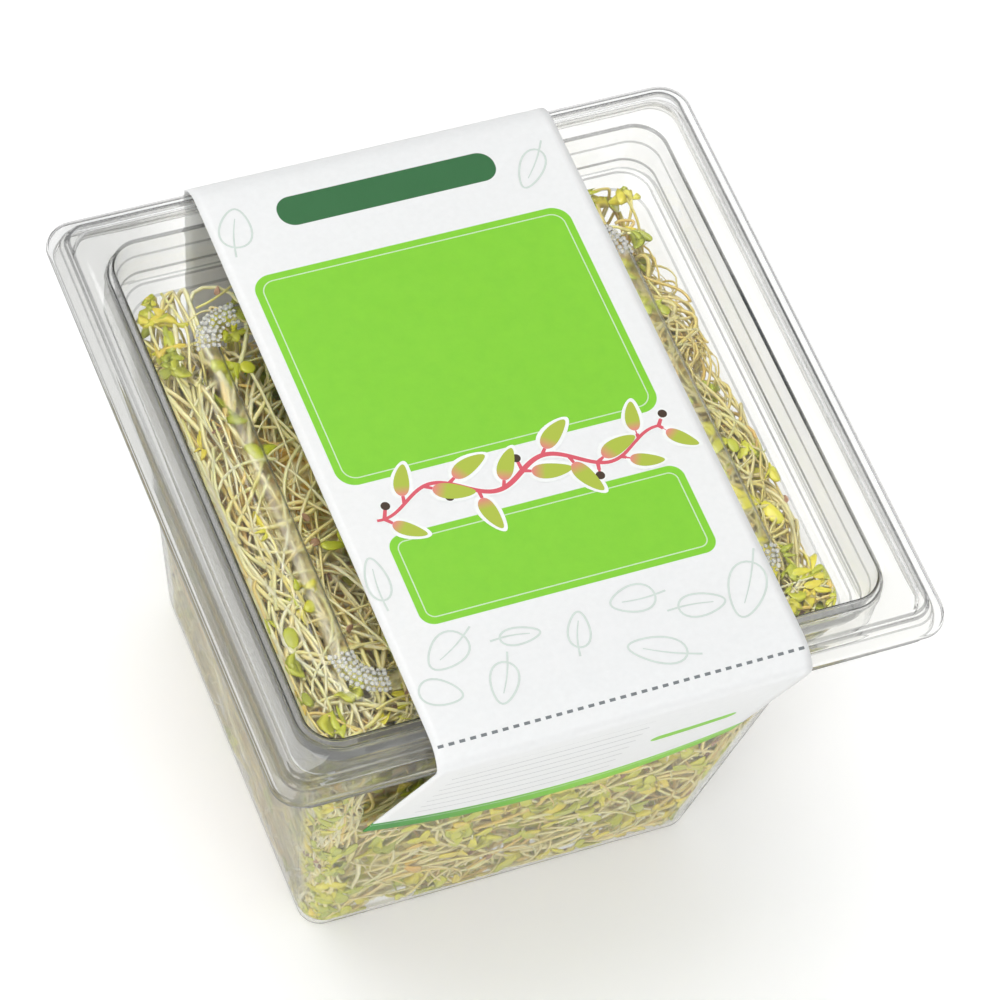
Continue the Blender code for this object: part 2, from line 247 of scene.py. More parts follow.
# shader groups that several finishes use
def makeGrain():
    group, net, takes, gives = newGroup("surfaceGrain", {"Vector": None, "Scale": 400.0, "Coarse": 0.5}, ["Height"])
    fine = net.add("TexNoise", Vector=takes["Vector"], Scale=takes["Scale"], Detail=4)
    coarse = net.add("TexNoise", Vector=takes["Vector"], Scale=net.times(takes["Scale"], 0.12), Detail=2)
    big = net.times(coarse.outputs[0], takes["Coarse"])
    net.feed(gives, {"Height": net.math("ADD", fine.outputs[0], big)})
    return group


def makePatches():
    group, net, takes, gives = newGroup(
        "softPatches", {"Vector": None, "Scale": 60.0, "Low": 0.4, "High": 0.6}, ["Mask"])
    cloud = net.add("TexNoise", Vector=takes["Vector"], Scale=takes["Scale"], Detail=3)
    net.feed(gives, {"Mask": net.span(cloud.outputs[0], (takes["Low"], takes["High"]))})
    return group


def makePanel():
    # a rounded rectangle as a mask, from flat coordinates in metres
    group, net, takes, gives = newGroup("roundedPanel", {
        "Across": 0.0, "Along": 0.0, "Middle Across": 0.0, "Middle Along": 0.0,
        "Half Across": 0.01, "Half Along": 0.01, "Radius": 0.002}, ["Mask", "Distance"])
    parts = []
    for label in ("Across", "Along"):
        off = net.math("ABSOLUTE", net.math("SUBTRACT", takes[label], takes["Middle " + label]))
        parts.append(net.math("SUBTRACT", off, net.math("SUBTRACT", takes["Half " + label], takes["Radius"])))
    grown = [net.math("MAXIMUM", part, 0.0) for part in parts]
    outside = net.math("SQRT", net.math("ADD", *(net.times(part, part) for part in grown)))
    inside = net.math("MINIMUM", net.math("MAXIMUM", *parts), 0.0)
    reach = net.math("SUBTRACT", net.math("ADD", outside, inside), takes["Radius"])
    perMetre = -9000.0  # how steeply the mask's edge falls
    net.feed(gives, {"Mask": net.blend(reach, perMetre, 0.5, clamp=True), "Distance": reach})
    return group


def makeBendLine():
    # a thin line along one rounded-square ring of a sheet, where light is bent away
    group, net, takes, gives = newGroup(
        "bendLine", {"Vector": None, "Half": 0.05, "Radius": 0.005, "Height": 0.1, "Width": 0.0003}, ["Mask"])
    x, y, z = net.split(takes["Vector"])
    flat = net.group(roundedPanel, {
        "Across": x, "Along": y, "Half Across": takes["Half"], "Half Along": takes["Half"], "Radius": takes["Radius"],
    })["Distance"]
    up = net.math("SUBTRACT", z, takes["Height"])
    away = net.math("SQRT", net.math("ADD", net.times(up, up), net.times(flat, flat)))
    near = net.math("DIVIDE", away, takes["Width"])
    net.feed(gives, {"Mask": net.blend(near, -2.0, 2.6, clamp=True)})
    return group


surfaceGrain, softPatches, roundedPanel = makeGrain(), makePatches(), makePanel()
bendLine = makeBendLine()


def floorFinish(look):
    finish, net, shader = newFinish("floorPaint")
    tint = net.mix(net.patches(net.place(), 1.5), look["floor"], dimmed(look["floor"], 0.99))
    # its mirror image in the plastic is a soft grey
    path = net.add("LightPath").outputs
    mirrored = net.times(path["Is Glossy Ray"], net.math("SUBTRACT", 1.0, path["Is Transmission Ray"]))
    tint = net.mix(mirrored, tint, look["floorMirrored"])
    net.feed(shader, {"Base Color": tint, "Emission Color": tint, "Emission Strength": look["floorGlow"],
                      "Roughness": look["floorRough"]})
    return finish


makeCamera(photoView)
makeStudio(studio)
print("camera, lights and floor made")


# clear sheet plastic: rounded-square rings (half width, height, corner radius) in metres
def withSupports(rings, longest=0.006, hold=0.0012):
    # two extra rings keep the shading flat on a long wall
    out = [rings[0]]
    for a, b in zip(rings, rings[1:]):
        length = math.hypot(b[0] - a[0], b[1] - a[1])
        if length > longest:
            for share in (hold / length, 0.5, 1 - hold / length):
                out.append(tuple(p + (q - p) * share for p, q in zip(a, b)))
        out.append(b)
    return out


def placeRing(ring, half, height, radius, hold=0.0015):
    quarter = len(ring) // 4
    steps = quarter - 5
    for k, vert in enumerate(ring):
        corner, i = divmod(k, quarter)
        middle = half - radius
        if i == 0:
            x, y = half, 0.0
        elif i == 1 or i == quarter - 1:
            x, y = (half, middle - hold) if i == 1 else (middle - hold, half)
        else:
            turn = math.pi / 2 * (i - 2) / (steps + 1)
            x, y = middle + radius * math.cos(turn), middle + radius * math.sin(turn)
        for _ in range(corner):
            x, y = -y, x
        vert.co = (x, y, height)


def sheetFromRings(rings, steps, up):
    bm = bmesh.new()
    ring = bmesh.ops.create_circle(bm, cap_ends=True, segments=4 * (steps + 5), radius=0.01)["verts"]
    rings = withSupports(rings)
    placeRing(ring, *rings[0])
    for spec in rings[1:]:
        grown = bmesh.ops.extrude_edge_only(bm, edges=[e for e in bm.edges if e.is_boundary])
        fresh = {g for g in grown["geom"] if isinstance(g, bmesh.types.BMVert)}
        ring = [next(e.other_vert(v) for e in v.link_edges if e.other_vert(v) in fresh) for v in ring]
        placeRing(ring, *spec)
    bm.normal_update()
    cap = max(bm.faces, key=lambda f: len(f.verts))
    if (cap.normal.z > 0) != up:
        bmesh.ops.reverse_faces(bm, faces=bm.faces[:])
    bmesh.ops.inset_individual(bm, faces=[cap], thickness=0.0015)
    return bm


def sheetWall(piece, thickness):
    wall = piece.modifiers.new("sheet", "SOLIDIFY")
    wall.thickness, wall.offset = thickness, -1
    return piece


def clearFinish(name, look):
    finish, net, shader = newFinish(name)
    place = net.place()
    x, y, _ = net.split(place)
    haze = net.patches(place, look["patch"], 0.35, 0.7)
    colour = net.mix(haze, look["tint"], look["tintHazy"])
    if "shade" in look:
        near, far, most = look["shade"]
        colour = net.mix(net.span(x, (near, far), (0.0, most)), colour, look["shadeTint"])
    # the sheet looks darker where it is seen edge on
    facing = net.add("LayerWeight", Blend=0.5).outputs["Facing"]
    colour = net.mix(net.span(facing, (look["edgeFrom"], 1.0), smooth=True), colour, look["edgeTint"])
    if "bends" in look:
        # painted shade: dark lines where the sheet is bent sharply and light is bent away, stronger and fainter by
        # turns
        total = None
        for half, radius, height, width, strength in look["bends"]:
            line = net.group(bendLine, {
                "Vector": place, "Half": half, "Radius": radius, "Height": height, "Width": width})[0]
            mask = net.times(line, strength)
            total = net.math("MAXIMUM", mask, total) if total else mask
        turns = net.blend(net.patches(place, look["bendPatch"], 0.25, 0.6), 0.3, 0.7)
        # the painted shade lines are strongest at the right and the back
        away = net.span(net.math("ADD", x, y), (-0.06, 0.03), (0.4, 1.0))
        colour = net.mix(net.times(total, net.times(turns, away)), colour, look["bendShadeTint"])
    rough = net.blend(haze, look["roughSpan"], look["rough"])
    if "frost" in look:
        middle, band, corner = look["frost"]
        perMetre = 2500.0  # how steeply the frost fades
        off = net.math("ABSOLUTE", net.panel(x, y, (0.0, 0.0, middle, middle, corner))["Distance"])
        rough = net.blend(net.blend(off, -perMetre, band * perMetre, clamp=True), look["frostRough"], rough)
    net.feed(shader, {"Base Color": colour, "Roughness": rough, "Transmission Weight": look["through"],
                      "IOR": look["ior"]})
    net.bump(shader, place, look["skin"], 2.0, look["skinDepth"])
    # lamp light goes straight through the thin sheet
    clear = net.add("BsdfTransparent", Color=look["lampTint"])
    lampRay = net.add("LightPath").outputs["Is Shadow Ray"]
    surface = net.feed(net.add("MixShader"), {0: lampRay, 1: shader.outputs[0], 2: clear.outputs[0]})
    net.feed(net.nodes["Material Output"], {"Surface": surface.outputs[0]})
    return finish


tubLook = {
    "thickness": 0.0006, "cornerSteps": 9,
    "rings": [
        (0.0411, 0.0000, 0.0032), (0.0428, 0.0004, 0.0042), (0.0437, 0.0016, 0.0048), (0.0441, 0.0034, 0.0052),
        (0.0562, 0.0930, 0.0080), (0.0568, 0.0938, 0.0080), (0.0600, 0.0944, 0.0073), (0.0609, 0.0952, 0.0082),
        (0.0612, 0.1072, 0.0085), (0.0615, 0.1080, 0.0086), (0.0622, 0.1085, 0.0087), (0.0647, 0.1085, 0.0050),
        (0.0652, 0.1080, 0.0052), (0.0654, 0.1061, 0.0053), (0.0659, 0.1050, 0.0055), (0.0668, 0.1046, 0.0057),
        (0.0679, 0.1044, 0.0060), (0.0683, 0.1039, 0.0061), (0.0684, 0.1032, 0.0062)],
    "finish": {
        "tint": (0.985, 0.982, 0.965, 1), "tintHazy": (0.965, 0.962, 0.94, 1), "through": 0.99, "rough": 0.02,
        "roughSpan": 0.10, "edgeFrom": 0.78, "edgeTint": (0.50, 0.51, 0.51, 1), "ior": 1.25,
        "patch": 75.0, "skin": 260.0, "skinDepth": 0.00005, "lampTint": (0.93, 0.94, 0.935, 1),
        # where the shade on the left starts and ends, and how strong it gets
        "shade": (-0.042, -0.052, 0.8),
        "shadeTint": (0.80, 0.80, 0.785, 1), "bendPatch": 30.0, "bendShadeTint": (0.10, 0.11, 0.12, 1),
        # half width, corner radius, height, line width, strength
        "bends": [(0.0432, 0.0045, 0.0008, 0.00035, 0.5), (0.0565, 0.0080, 0.0935, 0.00028, 0.7),
                  (0.0605, 0.0078, 0.0948, 0.00026, 0.7), (0.0684, 0.0062, 0.1033, 0.00028, 0.7)]},
}
lidLook = {
    "thickness": 0.0005, "cornerSteps": 9,
    "rings": [
        (0.0419, 0.0977, 0.0042), (0.0424, 0.0991, 0.0048), (0.0432, 0.0997, 0.0054), (0.0459, 0.0997, 0.0085),
        (0.0467, 0.0991, 0.0091), (0.0472, 0.0977, 0.0095), (0.0568, 0.0977, 0.0062), (0.0575, 0.0980, 0.0062),
        (0.0579, 0.0988, 0.0062), (0.0582, 0.1003, 0.0062), (0.0586, 0.1009, 0.0062), (0.0588, 0.1050, 0.0062),
        (0.0592, 0.1056, 0.0062), (0.0595, 0.1090, 0.0062), (0.0599, 0.1097, 0.0066), (0.0606, 0.1100, 0.0070),
        (0.0661, 0.1100, 0.0044), (0.0668, 0.1092, 0.0046), (0.0671, 0.1076, 0.0046), (0.0676, 0.1071, 0.0046),
        (0.0692, 0.1070, 0.0056), (0.0699, 0.1065, 0.0062), (0.0700, 0.1057, 0.0062)],
    "finish": {
        "tint": (0.99, 0.992, 0.988, 1), "tintHazy": (0.97, 0.975, 0.97, 1), "through": 0.99, "rough": 0.012,
        "roughSpan": 0.03, "edgeFrom": 0.76, "edgeTint": (0.40, 0.41, 0.42, 1), "ior": 1.4,
        "bendPatch": 24.0, "bendShadeTint": (0.012, 0.014, 0.017, 1),
        "bends": [(0.0419, 0.0042, 0.0977, 0.00014, 0.5), (0.0472, 0.0095, 0.0977, 0.00016, 0.6),
                  (0.0572, 0.0062, 0.0978, 0.00024, 0.8), (0.0582, 0.0062, 0.1006, 0.00030, 0.95),
                  (0.0590, 0.0062, 0.1053, 0.00022, 0.75), (0.0597, 0.0064, 0.1095, 0.00042, 1.0),
                  (0.0663, 0.0045, 0.1099, 0.00036, 1.0), (0.0669, 0.0046, 0.1088, 0.00050, 1.0),
                  (0.0675, 0.0046, 0.1071, 0.00024, 0.8), (0.0700, 0.0062, 0.1059, 0.00034, 0.9)],
        # the left side looks a little greyer
        "shade": (-0.038, -0.060, 0.8), "shadeTint": (0.765, 0.768, 0.77, 1),
        # the stacking ring is a little frosted: middle, half width and corner radius of the band
        "frost": (0.04455, 0.0021, 0.0070), "frostRough": 0.22,
        "patch": 60.0, "skin": 300.0, "skinDepth": 0.00002, "lampTint": (0.95, 0.955, 0.95, 1)},
    # small moulded beads at the corners of the stacking ring
    "beadRows": (-0.0022, -0.0011, 0.0000, 0.0011, 0.0021), "beadPitch": 0.00112, "beadRadius": 0.00056,
    "beadSeed": 3, "beadWide": (0.7, 1.1), "beadNudge": 0.00010, "beadFlat": 0.75,
    "ringMiddle": 0.0446, "ringRadius": 0.0070, "straight": 0.0008,
    "beadFinish": {
        "tint": (1, 1, 1, 1), "tintHazy": (0.95, 0.96, 0.96, 1), "through": 0.66, "rough": 0.05, "roughSpan": 0.08,
        "patch": 600.0, "skin": 900.0, "skinDepth": 0.00003, "lampTint": (0.95, 0.955, 0.95, 1), "edgeFrom": 0.3,
        "edgeTint": (0.66, 0.65, 0.60, 1), "ior": 1.45},
}


def makeTub(look):
    bm = sheetFromRings(look["rings"], look["cornerSteps"], up=False)
    tub = newPiece("clearTub", bm, [clearFinish("tubPlastic", look["finish"])])
    onRoot(sheetWall(tub, look["thickness"]), "tub_plastic", "tub")


def makeLid(look):
    bm = sheetFromRings(look["rings"], look["cornerSteps"], up=True)
    lid = newPiece("clearLid", bm, [clearFinish("lidPlastic", look["finish"])])
    onRoot(sheetWall(lid, look["thickness"]), "lid_plastic", "lid")
    # the beads follow the ring's rounded corners in staggered rows
    bm = bmesh.new()
    rings, rng = look["rings"][:6], np.random.default_rng(look["beadSeed"])
    for number, offset in enumerate(look["beadRows"]):
        half, radius = look["ringMiddle"] + offset, look["ringRadius"] + offset
        height = float(np.interp(half, [r[0] for r in rings], [r[1] for r in rings]))
        arc = radius * math.pi / 2
        reach = arc + 2 * look["straight"]
        for i in range(int(reach / look["beadPitch"])):
            at = (i + 0.5 * (number % 2)) * look["beadPitch"] - look["straight"]
            middle = half - radius
            if at < 0:
                x, y = half, middle + at
            elif at > arc:
                x, y = middle - (at - arc), half
            else:
                x, y = middle + radius * math.cos(at / radius), middle + radius * math.sin(at / radius)
            for _ in range(4):
                wide = rng.uniform(*look["beadWide"])
                nudge = rng.normal(0, look["beadNudge"], 2)
                shape = Matrix.Diagonal((wide, wide, look["beadFlat"], 1))
                shape = Matrix.Translation((x + nudge[0], y + nudge[1], height)) @ shape
                bmesh.ops.create_uvsphere(bm, u_segments=8, v_segments=5, radius=look["beadRadius"], matrix=shape)
                x, y = -y, x
    onRoot(newPiece("lidBeads", bm, [clearFinish("beadPlastic", look["beadFinish"])]), "lid_plastic")


makeTub(tubLook)
makeLid(lidLook)
print("clear tub and lid made")


# printed paper sleeve
sleeveLook = {
    "halfWidth": 0.0389, "widen": 0.0013, "bow": 0.0030, "thickness": 0.00030, "across": 40, "along": 180,
    # from the flap's end up to the fold: reach from the middle, height of the underside
    "path": [(0.0514, 0.0536), (0.0609, 0.0799), (0.07045, 0.1062), (0.07045, 0.1071), (0.06965, 0.1082),
             (0.06795, 0.1095), (0.06605, 0.1103)],
    "white": (0.93, 0.94, 0.935, 1), "green": (0.25, 0.66, 0.030, 1), "greenDeep": (0.23, 0.63, 0.028, 1),
    "darkGreen": (0.03, 0.16, 0.05, 1), "dash": (0.20, 0.22, 0.23, 1),
    # across and along middles, half sizes, radius
    "panels": [(-0.0010, 0.0180, 0.0340, 0.0260, 0.0040), (0.0000, -0.0315, 0.0310, 0.0105, 0.0030)],
    "plaque": (-0.0005, 0.0575, 0.0235, 0.0036, 0.0034),
    # the pale line's inset, half width and strength
    "panelLine": (0.0016, 0.00013, 0.55),
    # place, half width, pitch and dash share
    "cutLine": (-0.0672, 0.00028, 0.0022, 0.27),
    # the bar's foot and top, its fine line's height and half width
    "bar": (0.0530, 0.0612, 0.0592, 0.00012), "barFade": (-0.035, 0.005), "barDark": (0.03, 0.30, 0.03, 1),
    "tab": (0.0220, 0.0810, 0.0093, 0.0019, 0.0018),
    # foot, top, pitch, width, left and right end
    "rules": (0.0665, 0.1000, 0.0048, 0.00040, -0.033, 0.008), "ruleShare": 0.6,
    "topFrom": 0.1085, "frontFrom": -0.05, "rough": 0.34, "middleReach": 0.0600, "middleHeight": 0.1103,
}


def roundedPath(path, rounds=3):
    # corner cutting keeps the curve inside its points
    for _ in range(rounds):
        out = [path[0]]
        for a, b in zip(path, path[1:]):
            out.append((a[0] * 0.75 + b[0] * 0.25, a[1] * 0.75 + b[1] * 0.25))
            out.append((a[0] * 0.25 + b[0] * 0.75, a[1] * 0.25 + b[1] * 0.75))
        path = out + [path[-1]]
    return path


def makeSleeve(look):
    half = roundedPath(look["path"] + [(look["middleReach"], look["middleHeight"])])
    points = [(-r, z) for r, z in half] + [(r, z) for r, z in reversed(half)]
    walked = [0.0]
    for a, b in zip(points, points[1:]):
        walked.append(walked[-1] + math.dist(a, b))
    total = walked[-1]
    flapEnd = math.dist(look["path"][0], look["path"][2])
    bm = bmesh.new()
    bmesh.ops.create_grid(bm, x_segments=look["across"], y_segments=look["along"], size=0.5)
    for vert in bm.verts:
        across, at = vert.co.x * 2, (vert.co.y + 0.5) * total
        down = max(0.0, 1 - min(at, total - at) / flapEnd)
        reach, height = (np.interp(at, walked, column) for column in zip(*points))
        side = 1 if reach > 0 else -1
        reach += side * look["bow"] * down * (1 - across ** 2)
        vert.co = (across * (look["halfWidth"] + look["widen"] * down), reach, height)
    bm.normal_update()
    if max(bm.verts, key=lambda v: v.co.z).normal.z < 0:
        bmesh.ops.reverse_faces(bm, faces=bm.faces[:])
    sleeve = onRoot(newPiece("paperSleeve", bm, [paperFinish(look)]), "paper", "sleeve")
    wall = sleeve.modifiers.new("card", "SOLIDIFY")
    wall.thickness, wall.offset = look["thickness"], 1


def paperFinish(look):
    finish, net, shader = newFinish("printedCard")
    place = net.place()
    x, y, z = net.split(place)
    onTop = net.math("GREATER_THAN", z, look["topFrom"])
    onFront = net.math("LESS_THAN", y, look["frontFrom"])
    colour = net.mix(net.patches(place, 900.0, 0.3, 0.75), dimmed(look["white"], 0.965), look["white"])
    ink = net.mix(net.patches(place, 420.0, 0.3, 0.8), look["green"], look["greenDeep"])
    inset, lineHalf, lineShare = look["panelLine"]
    for values in look["panels"]:
        colour = net.mix(net.times(net.panel(x, y, values)["Mask"], onTop), colour, ink)
        # a thin pale line inside each panel's edge
        inner = values[:2] + (values[2] - inset, values[3] - inset, values[4] - 0.0012)
        edge = net.math("ABSOLUTE", net.panel(x, y, inner)["Distance"])
        line = net.times(net.math("LESS_THAN", edge, lineHalf), onTop)
        colour = net.mix(net.times(line, lineShare), colour, look["white"])
    colour = net.mix(net.times(net.panel(x, y, look["plaque"])["Mask"], onTop), colour, look["darkGreen"])

    # the dashed line beside the front fold
    lineAt, lineHalf, pitch, dashShare = look["cutLine"]
    dash = net.math("LESS_THAN", net.math("PINGPONG", x, pitch / 2), pitch * dashShare)
    colour = net.mix(net.times(net.near(y, lineAt, lineHalf), dash, onTop), colour, look["dash"])

    # the green bar along both flap ends, with a fine pale line in it, and the front flap's tab
    low, high, lineZ, lineHalf = look["bar"]
    bar = net.times(net.math("GREATER_THAN", z, low), net.math("LESS_THAN", z, high))
    colour = net.mix(bar, colour, net.mix(net.span(x, look["barFade"]), look["barDark"], look["green"]))
    colour = net.mix(net.times(net.panel(x, z, look["tab"])["Mask"], onFront), colour, ink)

    # plain ruled lines on the front flap
    low, high, pitch, width, left, right = look["rules"]
    ruled = net.math("LESS_THAN", net.math("PINGPONG", net.math("SUBTRACT", z, low), pitch / 2), width / 2)
    ruled = net.times(ruled, net.math("GREATER_THAN", z, low - 0.001), net.math("LESS_THAN", z, high), onFront,
                      net.math("GREATER_THAN", x, left), net.math("LESS_THAN", x, right))
    colour = net.mix(net.times(ruled, look["ruleShare"]), colour, look["dash"])
    colour = net.mix(net.near(z, lineZ, lineHalf), colour, look["white"])

    rough = net.blend(net.patches(place, 220.0, 0.3, 0.7), 0.10, look["rough"])
    net.feed(shader, {
        "Base Color": colour, "Roughness": rough, "Specular IOR Level": 0.45, "Subsurface Weight": 0.45,
        "Subsurface Scale": 0.0008, "Subsurface Radius": (1.0, 0.95, 0.92)})
    net.bump(shader, place, 1600.0, 1.2, 0.00003)
    return finish


makeSleeve(sleeveLook)
print("paper sleeve made")


# print on the sleeve: flat strokes and shapes of ink just above the card
inkLook = {
    "top": 0.11060, "seed": 5,
    "outline": (0.66, 0.74, 0.69, 1), "stem": (0.72, 0.10, 0.14, 1),
    "leaf": (0.42, 0.52, 0.05, 1), "leafBase": (0.80, 0.22, 0.22, 1), "halo": (0.93, 0.95, 0.93, 1),
    "seedCoat": (0.05, 0.025, 0.01, 1),
    "outlineWidth": 0.00022, "stemWidth": 0.00055, "haloWidth": 0.00060, "step": 0.0000008, "thick": 0.000008,
    # heights of the layers of ink above the card
    "layers": {"outlines": 0.00001, "haloStems": 0.000015, "haloLeaves": 0.000026, "stems": 0.000035,
               "leaves": 0.000046},
    # scattered outlines: tries, the area they start in, how far they may reach, and their distances
    "scatter": {"tries": 900, "across": 0.0375, "along": (-0.062, 0.064), "length": (0.008, 0.015),
                "wide": (0.45, 0.7), "reach": (0.0384, 0.0645), "apart": 0.0088, "panelGap": 0.0010,
                "vineBand": (-0.024, -0.004)},
    "vine": {"middle": -0.0143, "swing": 0.0026, "pitch": 0.0240, "ends": 0.0310, "every": 0.0050, "stalk": 0.0018,
             "leaf": (0.0068, 0.0086), "leafWide": 0.42, "leafHalo": 0.0008, "leafBend": 0.16, "berry": 0.00095,
             "inset": 0.0015, "leafAngle": (0.75, 1.1), "berryAngle": (1.0, 1.4)},
}


def curveMesh(name, strokes, depth, sides=0):
    # strokes: (points, radii, cyclic)
    data = bpy.data.curves.new(name, "CURVE")
    data.dimensions, data.bevel_depth, data.bevel_resolution = "3D", depth, sides
    data.twist_mode = "MINIMUM"
    for points, radii, cyclic in strokes:
        spline = data.splines.new("POLY")
        spline.points.add(len(points) - 1)
        spline.points.foreach_set("co", np.c_[points, np.ones(len(points))].ravel())
        spline.points.foreach_set("radius", radii)
        spline.use_cyclic_u = cyclic
    holder = bpy.data.objects.new(name, data)
    scene.collection.objects.link(holder)
    mesh = bpy.data.meshes.new_from_object(holder.evaluated_get(bpy.context.evaluated_depsgraph_get()))
    bpy.data.objects.remove(holder)
    bpy.data.curves.remove(data)
    bm = bmesh.new()
    bm.from_mesh(mesh)
    bmesh.ops.holes_fill(bm, edges=[e for e in bm.edges if e.is_boundary], sides=0)
    bm.to_mesh(mesh)
    bm.free()
    return mesh


def vertexPlaces(mesh):
    co = np.empty(len(mesh.vertices) * 3)
    mesh.vertices.foreach_get("co", co)
    return co.reshape(-1, 3)


def leafOutline(length, width, tip=0.6, count=28):
    # a pointed oval from the base at 0 to the tip at length
    turn = np.linspace(0, 2 * math.pi, count, endpoint=False)
    along = 0.5 - 0.5 * np.cos(turn)
    half = np.sin(turn) * width / 2 * (1 - 0.35 * (along - 0.5) * (1 + tip))
    return np.c_[along * length, half]


def turned(points, angle, shift):
    c, s = math.cos(angle), math.sin(angle)
    return points @ np.array([[c, s], [-s, c]]) + np.array(shift)


def inkFinish(name, base, tip=None):
    # tip: the colour that a leaf turns to away from its base
    finish, net, shader = newFinish(name)
    place = net.place()
    colour = net.mix(net.patches(place, 700.0, 0.3, 0.8), base, dimmed(base, 0.9))
    if tip:
        colour = net.mix(net.span(net.attribute("along"), (0.0, 0.34)), colour, tip)
    net.feed(shader, {"Base Color": colour, "Roughness": 0.38})
    net.bump(shader, place, 1600.0, 1.2, 0.00002)
    return finish


def flatShapes(name, outlines, height, finish):
    # outlines: (points, how far along each point is)
    bm = bmesh.new()
    layer = bm.verts.layers.float.new("along")
    for number, (points, shares) in enumerate(outlines):
        verts = [bm.verts.new((x, y, height + number * inkLook["step"])) for x, y in points]
        for vert, share in zip(verts, shares):
            vert[layer] = share
        face = bm.faces.new(verts)
        face.normal_update()
        if face.normal.z < 0:
            face.normal_flip()
    bmesh.ops.triangulate(bm, faces=bm.faces[:])
    return onRoot(newPiece(name, bm, [finish], smooth=False), "paper")


def flatStrokes(name, strokes, width, height, finish):
    lines = [(np.c_[points, np.zeros(len(points))], radii, cyclic) for points, radii, cyclic in strokes]
    mesh = curveMesh(name, lines, width)
    co = vertexPlaces(mesh)
    co[:, 2] = height + np.clip(co[:, 2] / width, -1, 1) * inkLook["thick"]
    mesh.vertices.foreach_set("co", co.ravel())
    mesh.update()
    return onRoot(wrapMesh(name, mesh, [finish], smooth=False), "paper")


def scatterOutlines(rng, look):
    # pale leaf outlines, each with its vein, where neither a panel nor another leaf is
    lines, taken = [], []
    for _ in range(look["tries"]):
        start = np.array([rng.uniform(-look["across"], look["across"]), rng.uniform(*look["along"])])
        length = rng.uniform(*look["length"])
        turn = rng.uniform(0, 2 * math.pi)
        middle = start + 0.5 * length * np.array([math.cos(turn), math.sin(turn)])
        shape = turned(leafOutline(length, length * rng.uniform(*look["wide"])), turn, start)
        vein = np.c_[np.linspace(-0.25, 0.75, 7) * length, np.sin(np.linspace(0, 3, 7)) * 0.0004]
        vein = turned(vein, turn, start)
        far = np.abs(np.concatenate([shape, vein])[:, None] - [p[:2] for p in look["panels"]])
        inPanel = (far < np.array([p[2:4] for p in look["panels"]]) + look["panelGap"]).all(2).any()
        low, high = look["vineBand"]
        if inPanel or low < middle[1] < high or (np.abs(shape).max(0) > look["reach"]).any():
            continue
        if any(np.hypot(*(middle - other)) < look["apart"] for other in taken):
            continue
        taken.append(middle)
        lines.append((shape, np.ones(len(shape)), True))
        if np.abs(vein).max(0)[0] < look["reach"][0]:
            lines.append((vein, np.linspace(1, 0.5, 7), False))
    return lines


def growVine(rng, vine, haloWidth):
    # a wavy vine across the card with leaves on both sides and a few dark berries
    def vineAt(x):
        phase = np.asarray(x) / vine["pitch"] * 2 * math.pi
        slope = vine["swing"] * 2 * math.pi / vine["pitch"] * np.cos(phase)
        return vine["middle"] + vine["swing"] * np.sin(phase), np.arctan(slope)

    x = np.linspace(-vine["ends"], vine["ends"], 140)
    stems = [(np.c_[x, vineAt(x)[0]], np.interp(np.abs(x), (0, vine["ends"]), (1.0, 0.55)), False)]
    leaves, halos, berries = [], [], []
    for k, at in enumerate(np.arange(-vine["ends"] + vine["inset"], vine["ends"], vine["every"])):
        height, slope = vineAt(at)
        side = 1 if k % 2 else -1
        leafAngle = slope + side * rng.uniform(*vine["leafAngle"])
        berryAngle = slope - side * rng.uniform(*vine["berryAngle"])
        for kind, angle in (("leaf", leafAngle), ("berry", berryAngle)):
            if kind == "berry" and k % 3:
                continue
            way = np.array((math.cos(angle), math.sin(angle)))
            reach = vine["stalk"] * (1.0 if kind == "leaf" else 1.7)
            stalk = np.array((at, float(height))) + np.linspace(0, reach, 6)[:, None] * way
            stems.append((stalk, np.linspace(0.75, 0.6, 6), False))
            if kind == "berry":
                turn = np.linspace(0, 2 * math.pi, 20, endpoint=False)
                for radius, listed in ((vine["berry"], berries), (vine["berry"] + haloWidth * 0.7, halos)):
                    listed.append((stalk[-1] + radius * np.c_[np.cos(turn), np.sin(turn)], np.ones(20)))
                continue
            length = rng.uniform(*vine["leaf"])
            for grown, listed in ((0.0, leaves), (vine["leafHalo"], halos)):
                outline = leafOutline(length + 2 * grown, length * vine["leafWide"] + 2 * grown)
                outline = outline - np.array((grown, 0))
                outline[:, 1] -= side * vine["leafBend"] * outline[:, 0] ** 2 / length
                listed.append((turned(outline, angle, stalk[-1]), np.clip(outline[:, 0] / length, 0, 1)))
    return stems, leaves, halos, berries


def makeInk(look, panels):
    rng = np.random.default_rng(look["seed"])
    at = {label: look["top"] + height for label, height in look["layers"].items()}
    lines = scatterOutlines(rng, {**look["scatter"], "panels": panels})
    flatStrokes("printOutlines", lines, look["outlineWidth"], at["outlines"], inkFinish("paleInk", look["outline"]))
    stems, leaves, halos, berries = growVine(rng, look["vine"], look["haloWidth"])
    halo, stemWidth = inkFinish("haloInk", look["halo"]), look["stemWidth"]
    flatStrokes("printHaloStems", stems, stemWidth + look["haloWidth"] * 0.8, at["haloStems"], halo)
    flatShapes("printHaloLeaves", halos, at["haloLeaves"], halo)
    flatStrokes("printStems", stems, stemWidth, at["stems"], inkFinish("stemInk", look["stem"]))
    flatShapes("printLeaves", leaves, at["leaves"], inkFinish("leafInk", look["leafBase"], look["leaf"]))
    flatShapes("printBerries", berries, at["leaves"], inkFinish("berryInk", look["seedCoat"]))


makeInk(inkLook, sleeveLook["panels"] + [sleeveLook["plaque"]])
print("print on the sleeve made")


